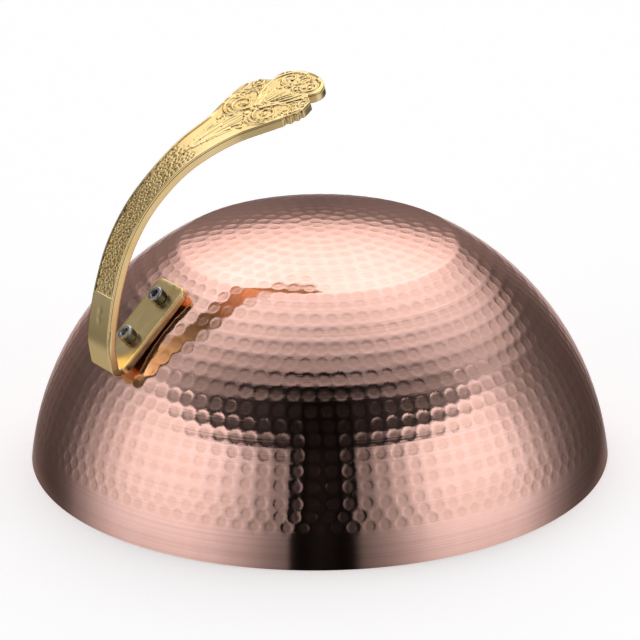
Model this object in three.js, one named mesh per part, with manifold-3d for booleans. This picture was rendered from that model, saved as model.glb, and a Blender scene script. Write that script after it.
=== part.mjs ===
// Hammered copper dome cover with a bolted brass strap handle.
// Millimetres, +Z up. The origin is the centre of the rim, on the surface that the rim rests on.
// The handle lies in the XZ plane: its foot is bolted to the -X shoulder and its tip hangs over the crown.

import * as THREE from 'three';
import { mergeVertices } from 'three/addons/utils/BufferGeometryUtils.js';
import Module from 'manifold-3d';

const wasm = await Module();
wasm.setup();

// ---------------------------------------------------------------- driving dimensions

// dome: a spherical wall with a flatter crown
const RIM_RADIUS = 150;
const WALL_CENTRE_Z = -18.3;
const CROWN_EDGE_RADIUS = 72.4;
const CROWN_CURVE_RADIUS = 290;
const SHEET = 1.2;
const DOME_SIDES = 72;
const WALL_STEPS = 13;
const CROWN_STEPS = 5;

// handle: one strap, bent back sharply on itself below the foot
const FOOT_ANGLE = THREE.MathUtils.degToRad(42.2); // of the foot's normal from vertical
const FOOT_TOP = 22.3; // foot end above the middle of the two screws
const FOOT_BOTTOM = 28.4; // start of the bend below it
const FOOT_THICKNESS = 4;
const ARM_THICKNESS = 5.1;
const BEND_OUTER_RADIUS = 4.9;
const BEND_TURN = THREE.MathUtils.degToRad(122);
const STRAP_CHAMFER = 0.7;
const FOOT_HALF_WIDTH = 12;
const FOOT_CORNER = 4;
const BEND_HALF_WIDTH = 9.8;
const TIP_LENGTH = 10.3;
const TIP_HALF_WIDTH = 17.5;

// fasteners: M5 hexagon socket screws with plain washers, spring washers and nuts inside the dome
const SCREW_SPACING = 24.5;
const SCREW = { radius: 2.5, length: 16, headRadius: 4.25, headHeight: 5, keyFlats: 4, keyDepth: 2.5 };
const WASHER = { inner: 2.8, outer: 5, height: 1 };
const SPRING_WASHER = { inner: 2.8, outer: 4.6, height: 1.2, slot: THREE.MathUtils.degToRad(16) };
const NUT = { flats: 8, height: 4, bore: 2.8 };
const HOLE_RADIUS = 3;
const ROUND_SIDES = 24;
const GAP = 0.3; // between pieces that touch
const INNER_GAP = 0.5; // between the flat washers and the curved inside of the dome

// ---------------------------------------------------------------- derived dimensions

const WALL_RADIUS = Math.hypot(RIM_RADIUS, WALL_CENTRE_Z);
const crownEdgeZ = WALL_CENTRE_Z + Math.sqrt(WALL_RADIUS ** 2 - CROWN_EDGE_RADIUS ** 2);
const CROWN_CENTRE_Z = crownEdgeZ - Math.sqrt(CROWN_CURVE_RADIUS ** 2 - CROWN_EDGE_RADIUS ** 2);
const FOOT_RADIUS = WALL_RADIUS + GAP; // from the wall's centre to the underside of the foot

// ---------------------------------------------------------------- helpers

// One closed mesh: shared corners are merged and slivers at the poles of a lathe are dropped.
function weld(geometry) {
  const bare = geometry.clone();
  bare.deleteAttribute('normal');
  bare.deleteAttribute('uv');
  const merged = mergeVertices(bare, 1e-4);
  const kept = [];
  const index = merged.index.array;
  for (let i = 0; i < index.length; i += 3) {
    const [a, b, c] = [index[i], index[i + 1], index[i + 2]];
    if (a !== b && b !== c && c !== a) kept.push(a, b, c);
  }
  merged.setIndex(kept);
  return merged;
}

// Turns a welded mesh the right way round, by the sign of its volume.
function faceOut(geometry) {
  const p = geometry.attributes.position;
  const index = Array.from(geometry.index.array);
  const [a, b, c] = [new THREE.Vector3(), new THREE.Vector3(), new THREE.Vector3()];
  let volume = 0;
  for (let i = 0; i < index.length; i += 3) {
    a.fromBufferAttribute(p, index[i]);
    b.fromBufferAttribute(p, index[i + 1]);
    c.fromBufferAttribute(p, index[i + 2]);
    volume += a.dot(b.cross(c));
  }
  if (volume < 0) {
    for (let i = 0; i < index.length; i += 3) [index[i], index[i + 1]] = [index[i + 1], index[i]];
    geometry.setIndex(index);
  }
  return geometry;
}

function solid(geometry) {
  const g = faceOut(weld(geometry));
  return new wasm.Manifold(new wasm.Mesh({
    numProp: 3,
    vertProperties: new Float32Array(g.attributes.position.array),
    triVerts: new Uint32Array(g.index.array),
  }));
}

function toGeometry(manifold) {
  const mesh = manifold.getMesh();
  const geometry = new THREE.BufferGeometry();
  geometry.setAttribute('position', new THREE.BufferAttribute(new Float32Array(mesh.vertProperties), 3));
  geometry.setIndex(Array.from(mesh.triVerts));
  geometry.computeVertexNormals();
  return geometry;
}

// A turned body: profile is a list of [radius, z] pairs.
function turned(profile, sides) {
  const points = profile.map(([r, z]) => new THREE.Vector2(r, z));
  return new THREE.LatheGeometry(points, sides).rotateX(Math.PI / 2);
}

// Points [radius, z] on a circle about the axis point at centreZ, from one angle from vertical to another.
function axisArc(centreZ, radius, fromAngle, toAngle, steps) {
  const points = [];
  for (let i = 0; i <= steps; i++) {
    const a = fromAngle + (toAngle - fromAngle) * i / steps;
    points.push([radius * Math.sin(a), centreZ + radius * Math.cos(a)]);
  }
  return points;
}

function hexagon(flats) {
  const shape = new THREE.Shape();
  for (let i = 0; i < 6; i++) {
    const a = i * Math.PI / 3;
    const r = flats / Math.sqrt(3);
    if (i === 0) shape.moveTo(r, 0);
    else shape.lineTo(r * Math.cos(a), r * Math.sin(a));
  }
  return shape;
}

// The frame of the bolted joint: +Z is the foot's outward normal, +X points up the dome,
// and z = 0 is the underside of the foot.
function inJointFrame(object) {
  const frame = new THREE.Group();
  frame.position.set(-FOOT_RADIUS * Math.sin(FOOT_ANGLE), 0, WALL_CENTRE_Z + FOOT_RADIUS * Math.cos(FOOT_ANGLE));
  frame.rotation.y = -FOOT_ANGLE;
  frame.add(object);
  frame.updateMatrixWorld(true);
  return frame;
}

const SCREW_PLACES = { upper: SCREW_SPACING / 2, lower: -SCREW_SPACING / 2 };

// A drill through both the foot and the dome at each screw, in the dome's own frame.
function screwHoles() {
  return Object.values(SCREW_PLACES).map((x) => {
    const drill = new THREE.CylinderGeometry(HOLE_RADIUS, HOLE_RADIUS, 30, ROUND_SIDES).rotateX(Math.PI / 2);
    const mesh = new THREE.Mesh(drill);
    mesh.position.x = x;
    inJointFrame(mesh);
    return solid(drill.clone().applyMatrix4(mesh.matrixWorld));
  });
}

function drilled(body) {
  return screwHoles().reduce((rest, hole) => rest.subtract(hole), body);
}

// ---------------------------------------------------------------- dome

function domeShell() {
  const innerWall = WALL_RADIUS - SHEET;
  const innerCrown = CROWN_CURVE_RADIUS - SHEET;
  const innerEdgeZ = (innerCrown ** 2 - innerWall ** 2 - CROWN_CENTRE_Z ** 2 + WALL_CENTRE_Z ** 2)
    / (2 * (WALL_CENTRE_Z - CROWN_CENTRE_Z));
  const surface = (wall, crown, edgeZ) => {
    const edgeRadius = Math.sqrt(wall ** 2 - (edgeZ - WALL_CENTRE_Z) ** 2);
    const crownArc = axisArc(CROWN_CENTRE_Z, crown, 0, Math.asin(edgeRadius / crown), CROWN_STEPS);
    const rimAngle = Math.acos(-WALL_CENTRE_Z / wall);
    const wallArc = axisArc(WALL_CENTRE_Z, wall, Math.asin(edgeRadius / wall), rimAngle, WALL_STEPS);
    return [...crownArc, ...wallArc.slice(1)];
  };
  const outside = surface(WALL_RADIUS, CROWN_CURVE_RADIUS, crownEdgeZ);
  const inside = surface(innerWall, innerCrown, innerEdgeZ);
  return toGeometry(drilled(solid(turned([...outside, ...inside.reverse()], DOME_SIDES))));
}

// ---------------------------------------------------------------- handle

// The line of the strap's outer face, in the XZ plane, as straight foot, round bend and curved arm.
const footFrame = inJointFrame(new THREE.Object3D());
const onFoot = (x) => new THREE.Vector3(x, 0, 0).applyMatrix4(footFrame.matrixWorld);
const footEnd = onFoot(FOOT_TOP);
const bendStart = onFoot(-FOOT_BOTTOM);
const footNormal = new THREE.Vector3(-Math.sin(FOOT_ANGLE), 0, Math.cos(FOOT_ANGLE));
const bendCentre = bendStart.clone().addScaledVector(footNormal, BEND_OUTER_RADIUS);

// A point of the bend, after turning by an angle from its start.
function onBend(turn) {
  const a = FOOT_ANGLE - Math.PI / 2 - turn;
  return new THREE.Vector3(Math.cos(a), 0, Math.sin(a)).multiplyScalar(BEND_OUTER_RADIUS).add(bendCentre);
}

const armCurve = new THREE.CatmullRomCurve3([
  onBend(BEND_TURN),
  new THREE.Vector3(-132.6, 0, 90),
  new THREE.Vector3(-130.8, 0, 104.5),
  new THREE.Vector3(-127.2, 0, 119.7),
  new THREE.Vector3(-120.1, 0, 138.8),
  new THREE.Vector3(-107.8, 0, 157.2),
  new THREE.Vector3(-90, 0, 173),
  new THREE.Vector3(-73.9, 0, 182.3),
  new THREE.Vector3(-50, 0, 190.6),
  new THREE.Vector3(-22, 0, 198.8),
  new THREE.Vector3(-1, 0, 204.6),
], false, 'centripetal');

const FOOT_LENGTH = FOOT_TOP + FOOT_BOTTOM;
const BEND_LENGTH = BEND_OUTER_RADIUS * BEND_TURN;
const ARM_START = FOOT_LENGTH + BEND_LENGTH;
const ARM_LENGTH = armCurve.getLength();
const STRAP_LENGTH = ARM_START + ARM_LENGTH;

// Position and direction on that line, at a distance from the foot's upper end.
function onStrap(distance) {
  if (distance < FOOT_LENGTH) {
    const along = new THREE.Vector3(-Math.cos(FOOT_ANGLE), 0, -Math.sin(FOOT_ANGLE));
    return { point: footEnd.clone().addScaledVector(along, distance), along };
  }
  if (distance < ARM_START) {
    const turn = (distance - FOOT_LENGTH) / BEND_OUTER_RADIUS;
    const a = FOOT_ANGLE + Math.PI - turn;
    return { point: onBend(turn), along: new THREE.Vector3(Math.cos(a), 0, Math.sin(a)) };
  }
  const u = Math.min((distance - ARM_START) / ARM_LENGTH, 1);
  return { point: armCurve.getPointAt(u), along: armCurve.getTangentAt(u) };
}

// Half of the strap's outline, flattened: x is the distance along the strap, y its half width.
function strapOutline() {
  const fromTip = (distance) => STRAP_LENGTH - distance;
  const foot = new THREE.Path();
  foot.moveTo(0, FOOT_HALF_WIDTH - FOOT_CORNER);
  foot.absarc(FOOT_CORNER, FOOT_HALF_WIDTH - FOOT_CORNER, FOOT_CORNER, Math.PI, Math.PI / 2, true);
  foot.lineTo(FOOT_LENGTH - 4, FOOT_HALF_WIDTH);
  foot.quadraticCurveTo(FOOT_LENGTH - 0.4, FOOT_HALF_WIDTH, FOOT_LENGTH, BEND_HALF_WIDTH);

  const bend = [];
  for (let i = 1; i <= 8; i++) bend.push(new THREE.Vector2(FOOT_LENGTH + BEND_LENGTH * i / 8, BEND_HALF_WIDTH));

  const arm = new THREE.SplineCurve([
    [ARM_START, BEND_HALF_WIDTH],
    [ARM_START + 27, 9.1],
    [ARM_START + 63, 8.6],
    [ARM_START + 88, 8.6],
    [ARM_START + 110, 9.3],
    [fromTip(76), 11.6],
    [fromTip(58.5), 14.3],
    [fromTip(46), 19.2],
    [fromTip(36), 23.1],
    [fromTip(27), 25.3],
    [fromTip(18.5), 22],
  ].map(([x, y]) => new THREE.Vector2(x, y)));

  const tip = new THREE.Path();
  tip.absellipse(fromTip(TIP_LENGTH), 0, TIP_LENGTH, TIP_HALF_WIDTH, 0.66 * Math.PI, 0.04 * Math.PI, true);

  return [...foot.getPoints(4), ...bend, ...arm.getPoints(46).slice(1), ...tip.getPoints(12)];
}

function handle() {
  const positions = [];
  const outline = strapOutline();
  for (const { x: distance, y: half } of outline) {
    const { point, along } = onStrap(distance);
    const inward = new THREE.Vector3(along.z, 0, -along.x);
    const blend = THREE.MathUtils.smoothstep(distance, FOOT_LENGTH, ARM_START + 20);
    const depth = THREE.MathUtils.lerp(FOOT_THICKNESS, ARM_THICKNESS, blend);
    const c = STRAP_CHAMFER;
    const corners = [
      [-half, c], [c - half, 0], [half - c, 0], [half, c],
      [half, depth - c], [half - c, depth], [c - half, depth], [-half, depth - c],
    ];
    for (const [across, deep] of corners) {
      const p = point.clone().addScaledVector(inward, deep);
      positions.push(p.x, across, p.z);
    }
  }
  const ring = 8;
  const index = [];
  for (let s = 0; s + 1 < outline.length; s++) {
    for (let k = 0; k < ring; k++) {
      const [a, b] = [s * ring + k, s * ring + (k + 1) % ring];
      index.push(a, b, b + ring, a, b + ring, a + ring);
    }
  }
  const last = (outline.length - 1) * ring;
  for (let k = 1; k + 1 < ring; k++) {
    index.push(0, k + 1, k);
    index.push(last, last + k, last + k + 1);
  }
  const strap = new THREE.BufferGeometry();
  strap.setAttribute('position', new THREE.Float32BufferAttribute(positions, 3));
  strap.setIndex(index);
  return toGeometry(drilled(solid(strap)));
}

// ---------------------------------------------------------------- fasteners, along their own +Z axis

// z = 0 is under the head, and the shank runs down.
function socketScrew() {
  const { radius, length, headRadius, headHeight, keyFlats, keyDepth } = SCREW;
  const bevel = 0.5;
  const body = solid(turned([
    [0, headHeight], [headRadius - bevel, headHeight], [headRadius, headHeight - bevel], [headRadius, 0],
    [radius, 0], [radius, bevel - length], [radius - bevel, -length], [0, -length],
  ], ROUND_SIDES));
  const key = new THREE.ExtrudeGeometry(hexagon(keyFlats), { depth: keyDepth + 1, bevelEnabled: false });
  key.translate(0, 0, headHeight - keyDepth);
  return toGeometry(body.subtract(solid(key)));
}

function plainWasher() {
  const { inner, outer, height } = WASHER;
  const ring = [[inner, 0], [outer, 0], [outer, height], [inner, height], [inner, 0]];
  return toGeometry(solid(turned(ring, ROUND_SIDES)));
}

function springWasher() {
  const { inner, outer, height, slot } = SPRING_WASHER;
  const shape = new THREE.Shape();
  shape.absarc(0, 0, outer, slot / 2, 2 * Math.PI - slot / 2, false);
  shape.absarc(0, 0, inner, 2 * Math.PI - slot / 2, slot / 2, true);
  return toGeometry(solid(new THREE.ExtrudeGeometry(shape, { depth: height, bevelEnabled: false, curveSegments: 11 })));
}

function nut() {
  const { flats, height, bore } = NUT;
  const shape = hexagon(flats);
  const hole = new THREE.Path();
  hole.absarc(0, 0, bore, 0, 2 * Math.PI, true);
  shape.holes.push(hole);
  const prism = new THREE.ExtrudeGeometry(shape, { depth: height, bevelEnabled: false, curveSegments: 10 });
  const corner = flats / Math.sqrt(3);
  const bevel = 0.5;
  const round = turned([
    [0, 0], [corner - bevel, 0], [corner, bevel], [corner, height - bevel], [corner - bevel, height], [0, height],
  ], ROUND_SIDES);
  return toGeometry(solid(prism).intersect(solid(round)));
}

// ---------------------------------------------------------------- materials

const finish = (color, roughness, metalness) => new THREE.MeshStandardMaterial({ color, roughness, metalness });
const copper = finish(0xd99c7c, 0.3, 1);
const brass = finish(0xb9975a, 0.35, 1);
const steel = finish(0x9a9c9e, 0.3, 1);
const zinc = finish(0xb4b6b2, 0.4, 1);

// ---------------------------------------------------------------- assembly

const lid = new THREE.Group();

function part(name, geometry, material) {
  const mesh = new THREE.Mesh(geometry, material);
  mesh.name = name;
  return mesh;
}

lid.add(part('dome_shell', domeShell(), copper));
lid.add(part('handle', handle(), brass));

// Stack under each screw, from the curved inside of the dome inwards.
const widestWasherX = SCREW_SPACING / 2 + WASHER.outer;
const insideAtWasher = Math.sqrt((WALL_RADIUS - SHEET) ** 2 - widestWasherX ** 2) - FOOT_RADIUS;
const washerZ = insideAtWasher - INNER_GAP - WASHER.height;
const springWasherZ = washerZ - GAP - SPRING_WASHER.height;
const nutZ = springWasherZ - GAP - NUT.height;

for (const [place, x] of Object.entries(SCREW_PLACES)) {
  const stack = new THREE.Group();
  const rows = [
    ['socket_screw', socketScrew(), steel, FOOT_THICKNESS + GAP],
    ['plain_washer', plainWasher(), zinc, washerZ],
    ['spring_washer', springWasher(), zinc, springWasherZ],
    ['hex_nut', nut(), zinc, nutZ],
  ];
  for (const [name, geometry, material, z] of rows) {
    const mesh = part(`${name}_${place}`, geometry, material);
    mesh.position.set(x, 0, z);
    stack.add(mesh);
  }
  lid.add(inJointFrame(stack));
}

export default lid;
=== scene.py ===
import math

import bmesh
import bpy
import numpy as np
from mathutils import Matrix, Vector
from mathutils.geometry import delaunay_2d_cdt
from mathutils.kdtree import KDTree


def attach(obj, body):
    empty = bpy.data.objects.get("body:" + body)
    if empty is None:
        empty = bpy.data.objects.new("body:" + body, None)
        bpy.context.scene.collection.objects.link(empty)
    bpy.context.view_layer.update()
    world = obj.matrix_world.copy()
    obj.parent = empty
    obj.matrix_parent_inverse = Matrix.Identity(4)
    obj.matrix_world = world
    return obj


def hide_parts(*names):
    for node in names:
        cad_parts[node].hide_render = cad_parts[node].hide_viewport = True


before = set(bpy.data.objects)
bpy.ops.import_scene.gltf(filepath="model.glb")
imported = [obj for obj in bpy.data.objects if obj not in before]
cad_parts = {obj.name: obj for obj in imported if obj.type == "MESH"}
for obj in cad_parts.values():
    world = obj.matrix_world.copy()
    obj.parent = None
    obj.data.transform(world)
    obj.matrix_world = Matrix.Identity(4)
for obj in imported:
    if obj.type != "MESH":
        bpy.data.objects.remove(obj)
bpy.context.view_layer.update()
bpy.ops.object.select_all(action='DESELECT')

MM = 0.001
chance = np.random.default_rng(11)

# ------------------------------------------------------------------ sizes, in millimetres, as in the CAD

RIM_RADIUS = 150.0
WALL_CENTRE_Z = -18.3
WALL_RADIUS = math.hypot(RIM_RADIUS, WALL_CENTRE_Z)
CROWN_EDGE_RADIUS = 72.4
CROWN_CURVE_RADIUS = 290.0
SHEET = 1.2

FOOT_ANGLE = math.radians(42.2)
FOOT_TOP = 22.3
FOOT_BOTTOM = 28.4
FOOT_THICKNESS = 4.0
ARM_THICKNESS = 5.1
BEND_OUTER_RADIUS = 4.9
BEND_TURN = math.radians(122)
FOOT_HALF_WIDTH = 12.0
FOOT_CORNER = 4.0
BEND_HALF_WIDTH = 9.8
TIP_LENGTH = 10.3
TIP_HALF_WIDTH = 17.5
SCREW_SPACING = 24.5
HOLE_RADIUS = 3.0
HOLE_SIDES = 32
GAP = 0.3
FOOT_RADIUS = WALL_RADIUS + GAP


def smoothstep(x, low, high):
    t = np.clip((x - low) / (high - low), 0, 1)
    return t * t * (3 - 2 * t)


# The frame of the bolted joint: local +Z is the foot's outward normal, local +X points up the dome.
JOINT_PLACE = Vector((-FOOT_RADIUS * math.sin(FOOT_ANGLE), 0,
                      WALL_CENTRE_Z + FOOT_RADIUS * math.cos(FOOT_ANGLE)))
JOINT = Matrix.Translation(JOINT_PLACE) @ Matrix.Rotation(-FOOT_ANGLE, 4, 'Y')
JOINT_AXES = np.array(JOINT.to_3x3())
JOINT_ORIGIN = np.array(JOINT.translation)
SCREW_PLACES = {"upper": SCREW_SPACING / 2, "lower": -SCREW_SPACING / 2}


# ------------------------------------------------------------------ camera, floor and light

CAMERA_AZIMUTH = math.radians(-34.2)
CAMERA_ELEVATION = math.radians(22.06)
CAMERA_DISTANCE = 2.0
CAMERA_TARGET = Vector((0, 0, 0.060))
CAMERA_ROLL = math.radians(-0.55)
SENSOR_WIDTH = 36
LENS = 217.83375
LENS_SHIFT = (0.001875, 0.031875)


def direction(azimuth, elevation):
    """Unit vector towards an azimuth and elevation in degrees, measured from the camera's side."""
    a, e = CAMERA_AZIMUTH + math.radians(azimuth), math.radians(elevation)
    return Vector((math.sin(a) * math.cos(e), -math.cos(a) * math.cos(e), math.sin(e)))


def add_camera():
    bpy.ops.object.camera_add()
    camera = bpy.context.object
    back = direction(0, math.degrees(CAMERA_ELEVATION))
    camera.location = CAMERA_TARGET + back * CAMERA_DISTANCE
    camera.rotation_mode = 'QUATERNION'
    camera.rotation_quaternion = (back.to_track_quat('Z', 'Y')
                                  @ Matrix.Rotation(CAMERA_ROLL, 3, 'Z').to_quaternion())
    camera.data.sensor_width = SENSOR_WIDTH
    camera.data.lens = LENS
    camera.data.shift_x, camera.data.shift_y = LENS_SHIFT
    camera.data.clip_end = 20
    bpy.context.scene.camera = camera


def add_light():
    """A ceiling light over and behind the dome, and a tall softbox on each side of the camera."""
    world = bpy.data.worlds.new("studio")
    world.use_nodes = True
    tree = world.node_tree
    nodes, links = tree.nodes, tree.links
    nodes.clear()
    turned = nodes.new('ShaderNodeMapping')
    turned.vector_type = 'NORMAL'
    turned.inputs['Rotation'].default_value = (0, 0, -CAMERA_AZIMUTH)
    links.new(nodes.new('ShaderNodeTexCoord').outputs['Generated'], turned.inputs['Vector'])
    parts = nodes.new('ShaderNodeSeparateXYZ')
    links.new(turned.outputs[0], parts.inputs[0])
    x, y, z = parts.outputs

    def curve(value, low, high, points):
        node = nodes.new('ShaderNodeFloatCurve')
        line = node.mapping.curves[0]
        line.points[0].location = (0, points[0][1])
        line.points[1].location = (1, points[-1][1])
        for place, height in points[1:-1]:
            line.points.new((place - low) / (high - low), height)
        node.mapping.update()
        links.new(map_range(tree, value, low, high, 0, 1), node.inputs['Value'])
        return node.outputs[0]

    degrees = 180 / math.pi
    around = product(tree, math_node(tree, 'ARCTAN2', x, product(tree, y, -1.0)), degrees)
    above = product(tree, math_node(tree, 'ARCSINE', z), degrees)
    height = math_node(tree, 'MAXIMUM', z, 0.02)
    forward = math_node(tree, 'DIVIDE', y, height)
    sideways = math_node(tree, 'DIVIDE', math_node(tree, 'ABSOLUTE', x), height)

    sides = curve(around, -180, 180, [
        (-180, 0.10), (-167, 0.15), (-150, 0.11), (-128, 0.06), (-108, 0.21), (-92, 0.45), (-74, 0.62),
        (-58, 0.63), (-46, 0.56), (-36, 0.42), (-28, 0.30), (-20, 0.17), (-12.4, 0.095), (-11, 0.004),
        (0, 0.003), (13.4, 0.005), (14.4, 0.07), (20, 0.13), (29, 0.25), (38, 0.42), (48, 0.58), (60, 0.64),
        (74, 0.63), (92, 0.42), (108, 0.17), (125, 0.07), (146, 0.06), (158, 0.11), (168, 0.14), (180, 0.10)])
    upright = curve(above, -90, 90, [
        (-90, 0.60), (-30, 0.60), (-20, 0.60), (-8, 0.73), (6, 0.90), (22, 1.0), (31, 0.97), (34.3, 0.60),
        (37.2, 0.03), (46, 0.03), (58, 0.015), (70, 0.0), (90, 0.0)])
    table = map_range(tree, z, -0.28, -0.45, 0, 0.48)
    boxes = math_node(tree, 'MAXIMUM', product(tree, sides, 2.0, upright), table)

    depth = curve(forward, -1, 4, [
        (-1, 0.0), (-0.56, 0.0), (-0.512, 0.13), (-0.46, 0.18), (-0.34, 0.20), (-0.2, 0.32), (0.0, 0.50),
        (0.3, 0.68), (0.6, 0.80), (1.0, 0.84), (1.4, 0.80), (2.0, 0.66), (2.6, 0.55), (3.4, 0.24), (4, 0.03)])
    breadth = curve(sideways, 0, 4, [
        (0, 1.0), (0.3, 0.99), (0.42, 0.95), (0.54, 0.87), (0.66, 0.78), (0.8, 0.70), (1.05, 0.57),
        (1.3, 0.46), (1.7, 0.34), (2.2, 0.18), (4, 0.03)])
    # a dark flag behind the handle's side
    flag = product(tree, map_range(tree, x, -0.50, -0.66, 0, 0.68), map_range(tree, y, 0.28, 0.42, 0, 1))
    ceiling = product(tree, depth, 2.0, breadth, map_range(tree, z, 0.02, 0.12, 0, 1),
                      math_node(tree, 'SUBTRACT', 1.0, flag))
    backdrop = product(tree, map_range(tree, y, 0.90, 0.985, 0, 1), map_range(tree, z, -0.12, -0.26, 0, 1))
    light = math_node(tree, 'ADD', math_node(tree, 'MAXIMUM', boxes, ceiling),
                      math_node(tree, 'ADD', backdrop, 0.004))

    room = nodes.new('ShaderNodeBackground')
    room.inputs['Color'].default_value = (1, 0.99, 1.0, 1)
    links.new(light, room.inputs['Strength'])
    seen = nodes.new('ShaderNodeBackground')
    seen.inputs['Color'].default_value = (1, 1, 1, 1)
    mix = nodes.new('ShaderNodeMixShader')
    links.new(nodes.new('ShaderNodeLightPath').outputs['Is Camera Ray'], mix.inputs['Fac'])
    links.new(room.outputs[0], mix.inputs[1])
    links.new(seen.outputs[0], mix.inputs[2])
    links.new(mix.outputs[0], nodes.new('ShaderNodeOutputWorld').inputs['Surface'])
    bpy.context.scene.world = world
    bpy.context.scene.view_settings.view_transform = 'Standard'


def add_floor():
    bpy.ops.mesh.primitive_plane_add(size=8, location=(0, 0, -0.0002))
    floor = bpy.context.object
    floor.name = "floor"
    material = bpy.data.materials.new("pale_floor")
    material.use_nodes = True
    shader = material.node_tree.nodes['Principled BSDF']
    shader.inputs['Base Color'].default_value = (0.86, 0.86, 0.86, 1)
    shader.inputs['Roughness'].default_value = 0.9
    shader.inputs['Specular IOR Level'].default_value = 0.0
    shader.inputs['Emission Color'].default_value = (1, 1, 1, 1)
    shader.inputs['Emission Strength'].default_value = 0.35
    floor.data.materials.append(material)
    floor.visible_glossy = False


# ------------------------------------------------------------------ mesh tools

def make_piece(name, verts, faces):
    """One closed mesh piece from vertices in millimetres."""
    mesh = bpy.data.meshes.new(name)
    mesh.from_pydata((np.asarray(verts) * MM).tolist(), [], faces)
    mesh.validate()
    piece = bpy.data.objects.new(name, mesh)
    bpy.context.scene.collection.objects.link(piece)
    return piece


def triangulate(points, loops=()):
    """Triangles of flat points, all turned anticlockwise. Every side of the loops is kept as an edge."""
    sides = [(loop[k - 1], loop[k]) for loop in loops for k in range(len(loop))]
    made, _, faces, _, _, _ = delaunay_2d_cdt([Vector(p) for p in points.tolist()], sides, [], 0, 1e-7)
    assert len(made) == len(points), "outline crosses itself"
    tris = np.array(faces)
    a, b, c = points[tris[:, 0]], points[tris[:, 1]], points[tris[:, 2]]
    area = (b[:, 0] - a[:, 0]) * (c[:, 1] - a[:, 1]) - (b[:, 1] - a[:, 1]) * (c[:, 0] - a[:, 0])
    tris[area < 0] = tris[area < 0][:, ::-1]
    return tris[np.abs(area) > 1e-9]


def inside_loop(points, loop):
    """Which flat points lie inside a closed loop of flat points."""
    x, y = points[:, 0], points[:, 1]
    inside = np.zeros(len(points), bool)
    for (x0, y0), (x1, y1) in zip(loop, np.roll(loop, -1, 0)):
        if y0 != y1:
            inside ^= ((y0 > y) != (y1 > y)) & (x < x0 + (x1 - x0) * (y - y0) / (y1 - y0))
    return inside


def ring_band(a, b):
    """Quads between two rings of vertex numbers with the same count."""
    n = len(a)
    return [(a[i], a[(i + 1) % n], b[(i + 1) % n], b[i]) for i in range(n)]


# ------------------------------------------------------------------ node groups shared by the metals

def new_group(name, inputs, outputs):
    group = bpy.data.node_groups.new(name, 'ShaderNodeTree')
    for kind, label, value in inputs:
        socket = group.interface.new_socket(name=label, in_out='INPUT', socket_type=kind)
        if value is not None:
            socket.default_value = value
    for kind, label in outputs:
        group.interface.new_socket(name=label, in_out='OUTPUT', socket_type=kind)
    return group, group.nodes.new('NodeGroupInput'), group.nodes.new('NodeGroupOutput')


def math_node(tree, operation, a, b=None, clamp=False):
    node = tree.nodes.new('ShaderNodeMath')
    node.operation = operation
    node.use_clamp = clamp
    for socket, value in zip(node.inputs, (a, b)):
        if value is None:
            continue
        if isinstance(value, (int, float)):
            socket.default_value = value
        else:
            tree.links.new(value, socket)
    return node.outputs[0]


def product(tree, first, *others):
    for other in others:
        first = math_node(tree, 'MULTIPLY', first, other)
    return first


def noise(tree, vector, scale, detail, roughness):
    node = tree.nodes.new('ShaderNodeTexNoise')
    node.inputs['Scale'].default_value = scale
    node.inputs['Detail'].default_value = detail
    node.inputs['Roughness'].default_value = roughness
    tree.links.new(vector, node.inputs['Vector'])
    return node.outputs['Fac']


def scaled(tree, vector, scale):
    node = tree.nodes.new('ShaderNodeVectorMath')
    node.operation = 'MULTIPLY'
    tree.links.new(vector, node.inputs[0])
    node.inputs[1].default_value = scale
    return node.outputs[0]


def map_range(tree, value, from_low, from_high, to_low, to_high):
    node = tree.nodes.new('ShaderNodeMapRange')
    tree.links.new(value, node.inputs['Value'])
    numbers = {'From Min': from_low, 'From Max': from_high, 'To Min': to_low, 'To Max': to_high}
    for key, number in numbers.items():
        node.inputs[key].default_value = number
    return node.outputs['Result']


def mix_colour(tree, factor, a, b):
    node = tree.nodes.new('ShaderNodeMix')
    node.data_type = 'RGBA'
    for socket, value in ((node.inputs[0], factor), (node.inputs[6], a), (node.inputs[7], b)):
        if isinstance(value, (int, float, tuple)):
            socket.default_value = value
        else:
            tree.links.new(value, socket)
    return node.outputs[2]


def handled_metal():
    """Colour and roughness of handled, polished metal, with soft clouds, faint smears and fine specks."""
    group, given, out = new_group(
        "handled_metal",
        [('NodeSocketVector', 'Position', None), ('NodeSocketColor', 'Bright', (0.8, 0.6, 0.4, 1)),
         ('NodeSocketColor', 'Toned', (0.6, 0.4, 0.2, 1)), ('NodeSocketFloat', 'Roughness', 0.2),
         ('NodeSocketFloat', 'Spread', 0.08)],
        [('NodeSocketColor', 'Colour'), ('NodeSocketFloat', 'Roughness')])
    position = given.outputs['Position']
    clouds = noise(group, position, 28, 4, 0.6)
    smears = noise(group, scaled(group, position, (1, 1, 0.3)), 160, 3, 0.6)
    specks = noise(group, position, 2600, 1, 0.5)
    cloudy = math_node(group, 'ADD', product(group, clouds, 0.7), product(group, smears, 0.3))
    colour = mix_colour(group, map_range(group, cloudy, 0.35, 0.65, 0, 1),
                        given.outputs['Toned'], given.outputs['Bright'])
    group.links.new(colour, out.inputs['Colour'])
    rubbed = math_node(group, 'ADD', product(group, smears, 0.6), product(group, specks, 0.4))
    spread = product(group, math_node(group, 'SUBTRACT', rubbed, 0.5), given.outputs['Spread'])
    group.links.new(math_node(group, 'ADD', given.outputs['Roughness'], spread), out.inputs['Roughness'])
    return group


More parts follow.
